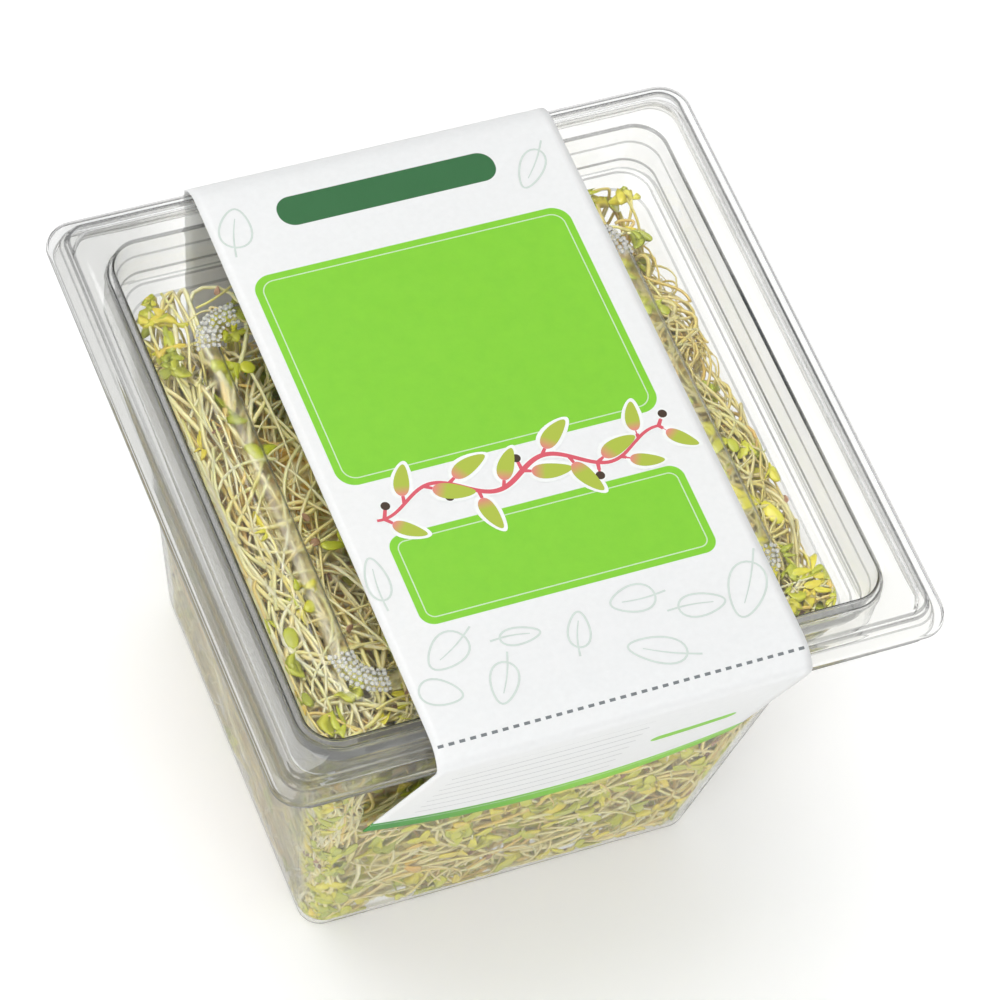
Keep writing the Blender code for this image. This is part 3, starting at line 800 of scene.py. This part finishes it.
# sprouts: one loose tangle behind the four walls and under the lid
sproutLook = {
    "wallFoot": (0.0441, 0.0034), "wallTop": (0.0562, 0.0930), "sheet": 0.0006, "gap": 0.0003,
    "low": 0.0016, "high": 0.0967, "points": 20, "sides": 0,
    "cornerRound": 0.0065, "stemRadius": (0.00021, 0.00056), "rootShare": 0.4,
    # shares of the length and of the radius
    "rootTaper": ((0, 0.35, 1), (0.22, 0.85, 0.95)), "stemTaper": ((0, 0.1, 1), (0.7, 1, 0.85)),
    "leafSize": (0.0044, 0.0070), "leafWidth": 0.46, "leafThick": 0.00045, "leafOpen": (0.25, 1.15),
    "leafCluster": 150, "huskShare": 0.05, "huskSize": (0.0018, 0.0030),
    # heights on the wall, and shape and size of the spread behind the wall, below the lid and in under the lid
    "wallHeights": (0.003, 0.095), "wallDepth": (1.7, 0.0022), "topDrop": (2.0, 0.0028), "topDepth": (1.9, 0.0048),
    "fewReachUp": 0.10, "raggedPitch": 110, "curlRate": 38, "curlDrift": 12, "drift": 0.000025, "smoothing": 2,
    # how hard a strand is pulled back to its depth, and how steeply it may climb or fall for it; how far it may
    # reach past the corner towards the next tuft; how deep the tangle sinks at its ends
    "pull": 60, "steer": 0.45, "share": 0.006, "sharePull": 90, "sink": 0.060,
    # where an effect starts and the width over which it grows
    "looseRise": (0.055, 0.034), "raggedRise": (0.070, 0.020), "sinkRise": (0.024, 0.028),
    "heartFoot": (0.0030, 0.0060), "heartEnds": (0.018, 0.022), "heartSink": 0.024,
    "heartLumps": ((160, 0.0024), (420, 0.0010)),
}
tuftLooks = {
    # turn of the wall's outward direction, strands on the wall and under the lid, where along the wall those under the
    # lid start, how much they run along and curl, the share with seed leaves on the wall and under the lid, how far
    # strands may stand off the wall near the lid, and how much the tangle dips at its two ends
    "Front": {"node": "sprouts_front", "dusky": False, "turn": -90, "seed": 31, "wall": 900, "top": 120,
              "topAlong": ((-0.054, -0.030), (0.030, 0.054)), "length": (0.018, 0.046), "run": 1.3, "curl": 2.0,
              "leafy": (0.62, 0.35), "loose": 0.002, "stout": 1.0, "dip": (0.0, 0.05), "topGap": 0.0008, "shy": 20,
              "heartDip": 0.2, "heartIn": 0.0062, "heartTop": 0.0860, "ragged": 0.0},
    "Right": {"node": "sprouts_right", "dusky": True, "turn": 0, "seed": 32, "wall": 480, "top": 560,
              "topAlong": ((-0.053, 0.043), (-0.053, 0.043)), "length": (0.026, 0.062), "run": 1.1, "curl": 1.9,
              "leafy": (0.46, 0.42), "loose": 0.009, "stout": 1.12, "dip": (0.03, 0.28), "topGap": 0.0010, "shy": 90,
              "heartDip": 0.5, "heartIn": 0.0082, "heartTop": 0.0870, "ragged": 0.0055},
    "Back": {"node": "sprouts_back", "dusky": False, "turn": 90, "seed": 33, "wall": 640, "top": 30,
             "topAlong": ((-0.048, -0.034), (0.034, 0.048)), "length": (0.028, 0.062), "run": 0.9, "curl": 1.4,
             "leafy": (0.44, 0.35), "loose": 0.012, "stout": 1.0, "dip": (0.45, 0.45), "topGap": 0.0030, "shy": 60,
             "heartDip": 1.0, "heartIn": 0.0095, "heartTop": 0.0860, "ragged": 0.0060},
    "Left": {"node": "sprouts_left", "dusky": False, "turn": 180, "seed": 34, "wall": 330, "top": 380,
             "topAlong": ((-0.042, 0.056), (-0.042, 0.056)), "length": (0.040, 0.090), "run": 2.3, "curl": 0.7,
             "leafy": (0.42, 0.26), "loose": 0.004, "stout": 1.3, "dip": (0.45, 0.0), "topGap": 0.0004, "shy": 30,
             "heartDip": 0.7, "heartIn": 0.0080, "heartTop": 0.0900, "ragged": 0.0030},
}


def rise(value, start, width, most=1.0):
    return np.clip((value - start) / width, 0, most)


def insideWall(z, look):
    (footHalf, footZ), (topHalf, topZ) = look["wallFoot"], look["wallTop"]
    return footHalf + (topHalf - footHalf) * rise(z, footZ, topZ - footZ) - look["sheet"] - look["gap"]


def keepInside(points, room, look):
    # local frame: along the wall, out towards it, up
    z = np.clip(points[..., 2], look["low"] + room, look["high"] - room)
    limit = insideWall(z, look) - room
    along, out = (np.clip(points[..., i], -limit, limit) for i in (0, 1))
    # rounded corners: pull the far corner in
    r = look["cornerRound"]
    least = np.minimum(np.abs(along), np.abs(out)) - (limit - r)
    most = np.maximum(np.abs(along), np.abs(out)) - (limit - r)
    far = np.hypot(np.maximum(least, 0), np.maximum(most, 0)) / r
    over = np.where((least > 0) & (most > 0), np.maximum(far, 1), 1)
    along, out = (np.where(over > 1, np.sign(v) * (limit - r + (np.abs(v) - limit + r) / over), v)
                  for v in (along, out))
    return np.stack([along, out, z], -1)


def unit(v):
    return v / np.maximum(np.linalg.norm(v, axis=-1, keepdims=True), 1e-9)


def startStrands(rng, tuft, look):
    # where each strand starts in the local frame, and how deep it is behind the wall
    walls = tuft["wall"]
    n = walls + tuft["top"]
    onWall = np.arange(n) < walls
    share = rng.uniform(-1, 1, n)
    ranges = np.array(tuft["topAlong"])[rng.integers(0, 2, n)]
    topAlong = ranges[:, 0] + (ranges[:, 1] - ranges[:, 0]) * rng.random(n)
    end = rise(np.abs(share), 0.50, 0.50) * np.where(share < 0, *tuft["dip"])
    end = end * (rng.random(n) > look["fewReachUp"])
    shape, size = look["topDrop"]
    z = np.where(onWall, rng.uniform(*look["wallHeights"], n) * (1 - end), look["high"] - rng.gamma(shape, size, n))
    limit = insideWall(z, look)
    loose = rise(z, *look["looseRise"]) * rng.uniform(0.35, 1, n) * tuft["loose"]
    wallDepth = rng.gamma(*look["wallDepth"], n) + loose
    depth = np.where(onWall, wallDepth, tuft["topGap"] + rng.gamma(*look["topDepth"], n))
    wave = np.array([noise.noise(Vector((a, tuft["turn"], 0)) * look["raggedPitch"])
                     for a in np.where(onWall, share * limit, topAlong)])
    depth += tuft["ragged"] * np.clip(0.5 + 1.2 * wave, 0, 1.2) * rise(z, *look["raggedRise"])
    out = limit - depth
    along = np.where(onWall, share * np.minimum(out + 0.004, limit), topAlong)
    return np.stack([along, out, z], -1), depth, onWall


def growStrands(rng, tuft, look):
    steps = look["points"]
    p, wantDepth, onWall = startStrands(rng, tuft, look)
    n, wantDrop = len(p), look["high"] - p[:, 2]
    wall = onWall[:, None]
    d = unit(rng.normal(0, 1, (n, 3)) * np.where(wall, (tuft["run"], 0.18, 1.0), (tuft["run"], 0.9, 0.15)))
    axis = unit(np.where(wall, (0.25, 1.0, 0.25), (0.2, 0.2, 1.0)) * rng.normal(0, 1, (n, 3)))
    curl = rng.normal(0, 1, n) * look["curlRate"] * tuft["curl"]
    step = rng.uniform(*tuft["length"], n) / steps
    path = np.empty((n, steps, 3))
    thin, thick = (r * tuft["stout"] for r in look["stemRadius"])
    radius = thin + (thick - thin) * rng.beta(1.4, 2.2, n)
    pull, steer = look["pull"], look["steer"]
    for k in range(steps):
        p = keepInside(p, radius, look)
        path[:, k] = p
        path[:, k, 1] -= look["drift"] * k  # no two points of a strand meet
        curl += rng.normal(0, 1, n) * look["curlDrift"] * tuft["curl"]
        axis = unit(axis + rng.normal(0, 0.12, (n, 3)))
        d = d + np.cross(axis, d) * (curl * step)[:, None] + rng.normal(0, 0.03, (n, 3))
        # keep to the shell behind the wall, or under the lid
        reach = np.abs(p[:, 0])
        nowDepth = insideWall(p[:, 2], look) - p[:, 1]
        sink = look["sink"] * np.where(p[:, 0] < 0, *tuft["dip"]) * rise(reach, *look["sinkRise"], 1.2) ** 1.3
        nowDrop = look["high"] - p[:, 2] - sink
        d[:, 1] += np.where(onWall, (nowDepth - wantDepth) * pull, 0)
        d[:, 2] -= np.where(onWall, 0, np.clip((wantDrop - nowDrop) * pull, -steer, steer))
        d[:, 1] -= np.where(onWall, 0, np.clip(wantDepth * 0.6 - nowDepth, 0, 0.01) * tuft["shy"])
        # and clear of the next tuft
        d[:, 0] -= np.sign(p[:, 0]) * np.maximum(reach - p[:, 1] - look["share"], 0) * look["sharePull"]
        d = unit(d)
        p = p + d * step[:, None]
    for _ in range(look["smoothing"]):
        path[:, 1:-1] = path[:, 1:-1] * 0.5 + (path[:, :-2] + path[:, 2:]) * 0.25
    return path, d, radius, onWall


def toWorld(points, turn):
    # local along and out axes turned to the tuft's own wall
    a = math.radians(turn)
    outDir, alongDir = np.array((math.cos(a), math.sin(a))), np.array((-math.sin(a), math.cos(a)))
    flat = points[..., 0:1] * alongDir + points[..., 1:2] * outDir
    return np.concatenate([flat, points[..., 2:3]], -1)


def leafTemplate(name, cup, fold):
    # a closed, thin, spoon-shaped seed leaf, base at the origin, along +X
    bm = bmesh.new()
    bmesh.ops.create_uvsphere(bm, u_segments=8, v_segments=6, radius=0.5, matrix=Matrix.Rotation(math.pi / 2, 4, "Y"))
    for v in bm.verts:
        x, y, z = v.co
        t = x + 0.5
        v.co = (t, y * (0.75 + 0.6 * t), z * 0.16 + cup * (4 * y * y * fold - 1.2 * (t - 0.5) ** 2))
    bmesh.ops.recalc_face_normals(bm, faces=bm.faces[:])
    mesh = bpy.data.meshes.new(name)
    bm.to_mesh(mesh)
    bm.free()
    return mesh


def storeValues(mesh, label, values):
    mesh.attributes.new(label, "FLOAT", "POINT").data.foreach_set("value", values)


def copyMany(template, places, tints, keep, thick):
    # the template's copies, each with its own 4 x 4 place, as one mesh's arrays; a copy's inner face keeps a gap to
    # its outer one
    up = np.array([v.normal.z for v in template.vertices])
    co = np.c_[vertexPlaces(template), np.ones(len(template.vertices))]
    faces = [tuple(p.vertices) for p in template.polygons]
    verts = keep(np.einsum("nij,vj->nvi", places, co)[..., :3], thick / 2 * (1 - up))
    share = np.broadcast_to(co[:, 0], verts.shape[:2])
    tint = np.broadcast_to(tints[:, None], verts.shape[:2])
    listed = [tuple(i + k * len(co) for i in f) for k in range(len(places)) for f in faces]
    return verts.reshape(-1, 3), listed, share.ravel(), tint.ravel()


def joinCopies(name, parts, finishes):
    mesh = bpy.data.meshes.new(name)
    verts, faces, shares, tints, kinds, start = [], [], [], [], [], 0
    for kind, (v, f, s, t) in enumerate(parts):
        verts.append(v)
        faces += [tuple(i + start for i in face) for face in f]
        shares.append(s)
        tints.append(t)
        kinds += [kind] * len(f)
        start += len(v)
    mesh.from_pydata(np.concatenate(verts).tolist(), [], faces)
    storeValues(mesh, "along", np.concatenate(shares))
    storeValues(mesh, "tint", np.concatenate(tints))
    piece = wrapMesh(name, mesh, finishes)
    mesh.polygons.foreach_set("material_index", kinds)
    return piece


def leafPlaces(rng, bases, directions, sizes, widths, flat):
    # flat: the direction that a leaf's face tends to look
    n = len(bases)
    x = unit(directions)
    up = unit(flat + rng.normal(0, 0.55, (n, 3)))
    y = unit(np.cross(up, x))
    places = np.zeros((n, 4, 4))
    for column, axis, size in ((0, x, sizes), (1, y, sizes * widths), (2, np.cross(x, y), sizes)):
        places[:, :3, column] = axis * size[:, None]
    places[:, :3, 3], places[:, 3, 3] = bases, 1
    return places


def plantFinish(name, look):
    finish, net, shader = newFinish(name)
    place = net.place()
    tint, along = net.ramp(net.attribute("tint"), look["tints"]), net.ramp(net.attribute("along"), look["alongTints"])
    colour = net.mix(1.0, tint, along, blend="MULTIPLY")
    spots = net.patches(place, look["spotScale"], look["spotFrom"], look["spotTo"])
    colour = net.mix(net.times(spots, look["spotShare"]), colour, look["spot"])
    rough = net.blend(net.patches(place, 500.0, 0.3, 0.7), 0.2, look["rough"])
    net.feed(shader, {
        "Base Color": colour, "Roughness": rough, "Subsurface Weight": look["glow"], "Subsurface Scale": 0.0012,
        "Subsurface Radius": (1.0, 0.8, 0.4), "Coat Weight": look["moist"], "Coat Roughness": 0.18})
    net.bump(shader, place, look["skin"], 1.5, look["skinDepth"], strength=0.6)
    return finish


white = (1, 1, 1, 1)
dusk = (0.80, 0.77, 0.62, 1)
stemLook = {
    "tints": [(0.0, (0.96, 0.76, 0.30, 1)), (0.45, (0.99, 0.91, 0.57, 1)), (0.72, (0.97, 0.83, 0.35, 1)),
              (0.88, (0.94, 0.62, 0.18, 1)), (1.0, (0.99, 0.77, 0.45, 1))],
    "alongTints": [(0.0, (0.97, 0.93, 0.84, 1)), (0.5, white), (1.0, (0.92, 0.95, 0.70, 1))],
    "spot": (0.80, 0.60, 0.24, 1), "spotScale": 160.0, "spotFrom": 0.6, "spotTo": 0.8, "spotShare": 0.5,
    "glow": 0.5, "moist": 0.25, "rough": 0.30, "skin": 900.0, "skinDepth": 0.00012,
}
leafLook = {
    "tints": [(0.0, (0.38, 0.44, 0.012, 1)), (0.35, (0.60, 0.62, 0.015, 1)), (0.62, (0.82, 0.74, 0.03, 1)),
              (0.85, (0.92, 0.70, 0.05, 1)), (1.0, (0.80, 0.44, 0.07, 1))],
    "alongTints": [(0.0, (0.95, 0.98, 0.80, 1)), (0.4, white), (1.0, (0.90, 0.94, 0.80, 1))],
    "spot": (0.34, 0.30, 0.04, 1), "spotScale": 220.0, "spotFrom": 0.58, "spotTo": 0.8, "spotShare": 0.4,
    "glow": 0.25, "moist": 0.5, "rough": 0.30, "skin": 1100.0, "skinDepth": 0.00018,
}
huskLook = {
    "tints": [(0.0, (0.24, 0.12, 0.05, 1)), (0.5, (0.42, 0.22, 0.10, 1)), (1.0, (0.66, 0.38, 0.26, 1))],
    "alongTints": [(0.0, white), (1.0, (0.8, 0.75, 0.7, 1))],
    "spot": (0.14, 0.07, 0.03, 1), "spotScale": 600.0, "spotFrom": 0.5, "spotTo": 0.7, "spotShare": 0.6,
    "glow": 0.0, "moist": 0.2, "rough": 0.5, "skin": 1500.0, "skinDepth": 0.0002,
}
heartLook = {
    "tints": [(at, (0.84, 0.48, 0.07, 1)) for at in (0.0, 1.0)], "alongTints": [(0.0, white), (1.0, white)],
    "spot": (0.95, 0.81, 0.42, 1), "spotScale": 240.0, "spotFrom": 0.42, "spotTo": 0.62, "spotShare": 0.9,
    "glow": 0.3, "moist": 0.2, "rough": 0.6, "skin": 700.0, "skinDepth": 0.0008,
}
# the dusky kinds are for the tuft that the light reaches least
stemDuskLook = {**stemLook, "tints": [(at, tuple(c * d for c, d in zip(tint, dusk))) for at, tint in stemLook["tints"]]}
heartDuskLook = {**heartLook, "tints": [(at, (0.40, 0.29, 0.06, 1)) for at in (0.0, 1.0)],
                 "spot": (0.72, 0.56, 0.22, 1)}
plants = {name: plantFinish(name, look) for name, look in (
    ("stemFlesh", stemLook), ("stemDusk", stemDuskLook), ("seedLeaf", leafLook), ("seedHusk", huskLook),
    ("tangleShade", heartLook), ("tangleDusk", heartDuskLook))}
templates = {name: leafTemplate(name, cup, fold) for name, cup, fold in (
    ("flatLeaf", 0.12, 0.8), ("cuppedLeaf", 0.30, 1.6), ("husk", -0.2, -1.0))}


def makeStems(rng, name, tuft, look, path, radius):
    world = toWorld(path, tuft["turn"])
    n, steps = path.shape[:2]
    share = np.linspace(0, 1, steps)
    rooted = rng.random(n) < look["rootShare"]
    tapers = (np.interp(share, *look[kind]) for kind in ("rootTaper", "stemTaper"))
    radii = radius[:, None] * np.where(rooted[:, None], *tapers)
    mesh = curveMesh("stems" + name, [(world[k], radii[k], False) for k in range(n)], 1.0, look["sides"])
    around = len(mesh.vertices) // (n * steps)
    storeValues(mesh, "tint", np.repeat(rng.beta(1.3, 1.6, n), steps * around))
    storeValues(mesh, "along", np.tile(np.repeat(share, around), n))
    finish = plants["stemDusk" if tuft["dusky"] else "stemFlesh"]
    onRoot(wrapMesh("stems" + name, mesh, [finish]), "sprouts", tuft["node"])


def makeLeaves(rng, name, tuft, look, path, ends, onWall):
    def keep(points, room):
        return toWorld(keepInside(points, room, look), tuft["turn"])

    # seed leaves in pairs at the stems' ends, pressed flat where they meet the wall or lid
    n, steps = path.shape[:2]
    facing = np.where(onWall[:, None], (0.0, 1.0, 0.0), (0.0, 0.0, 1.0))
    tips = toWorld(path[:, -1], tuft["turn"])
    cluster = np.array([noise.noise(Vector(p) * look["leafCluster"]) for p in tips])
    leafy = rng.random(n) < np.where(onWall, *tuft["leafy"]) * np.clip(1 + 2.6 * cluster, 0.15, 2.2)
    bases, way = path[leafy, -1], ends[leafy]
    sideways = unit(np.cross(facing[leafy], way) + rng.normal(0, 0.25, way.shape))
    parts, count = [], len(bases)
    opened = rng.uniform(*look["leafOpen"], count)
    size = rng.uniform(*look["leafSize"], count)
    tint = rng.beta(2.0, 2.2, count)
    for template, side in (("flatLeaf", -1), ("cuppedLeaf", 1)):
        direction = way * np.cos(opened)[:, None] + side * sideways * np.sin(opened)[:, None]
        places = leafPlaces(rng, bases, direction, size * rng.uniform(0.85, 1.0, count),
                            np.full(count, look["leafWidth"]), facing[leafy])
        tints = np.clip(tint + rng.normal(0, 0.05, count), 0, 1)
        parts.append(copyMany(templates[template], places, tints, keep, look["leafThick"]))
    # loose husks
    m = int(n * look["huskShare"])
    pick = rng.integers(0, n, m)
    at = path[pick, rng.integers(2, steps, m)]
    places = leafPlaces(rng, at, rng.normal(0, 1, (m, 3)), rng.uniform(*look["huskSize"], m), np.full(m, 0.7),
                        facing[pick])
    parts.append(copyMany(templates["husk"], places, rng.random(m), keep, look["leafThick"]))
    leaves = joinCopies("leaves" + name, parts, [plants[kind] for kind in ("seedLeaf", "seedLeaf", "seedHusk")])
    onRoot(leaves, "sprouts", tuft["node"])


def makeHeart(name, tuft, look):
    # the tangle's inner mass, which shows as shade between the strands
    bm = bmesh.new()
    bmesh.ops.create_cube(bm, size=1.0)
    near, low = look["heartFoot"]
    for v in bm.verts:
        z = tuft["heartTop"] if v.co.z > 0 else low
        reach = float(insideWall(np.array(z), look)) - tuft["heartIn"]
        out = reach if v.co.y > 0 else near
        v.co = ((1 if v.co.x > 0 else -1) * (out - 0.0015), out, z)
    bmesh.ops.subdivide_edges(bm, edges=bm.edges[:], cuts=26, use_grid_fill=True)
    bm.normal_update()
    (bigPitch, big), (smallPitch, small) = look["heartLumps"]
    dip, (dipFrom, dipWidth) = look["heartSink"], look["heartEnds"]
    for v in bm.verts:
        lump = noise.noise(v.co * bigPitch + Vector((tuft["seed"], 0, 0))) * big
        v.co += v.normal * (lump + noise.noise(v.co * smallPitch) * small)
        end = min(max((abs(v.co.x) - dipFrom) / dipWidth, 0), 1)
        v.co.z -= dip * tuft["heartDip"] * end * max(0, (v.co.z - 0.040) / 0.046)
    a = math.radians(tuft["turn"])
    turn = Matrix(((-math.sin(a), math.cos(a), 0, 0), (math.cos(a), math.sin(a), 0, 0), (0, 0, 1, 0), (0, 0, 0, 1)))
    bmesh.ops.transform(bm, matrix=turn, verts=bm.verts[:])
    bmesh.ops.recalc_face_normals(bm, faces=bm.faces[:])
    finish = plants["tangleDusk" if tuft["dusky"] else "tangleShade"]
    onRoot(newPiece("heart" + name, bm, [finish]), "sprouts", tuft["node"])


def makeTuft(name, tuft, look):
    rng = np.random.default_rng(tuft["seed"])
    path, ends, radius, onWall = growStrands(rng, tuft, look)
    makeStems(rng, name, tuft, look, path, radius)
    makeLeaves(rng, name, tuft, look, path, ends, onWall)
    makeHeart(name, tuft, look)
    print("tuft made:", name)


for tuftName, tuftLook in tuftLooks.items():
    makeTuft(tuftName, tuftLook, sproutLook)

shown = [o for o in scene.objects if o.type == "MESH" and not o.hide_render and not o.get("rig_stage")]
for piece in shown:
    print(piece.name, sum(len(p.vertices) - 2 for p in piece.data.polygons))
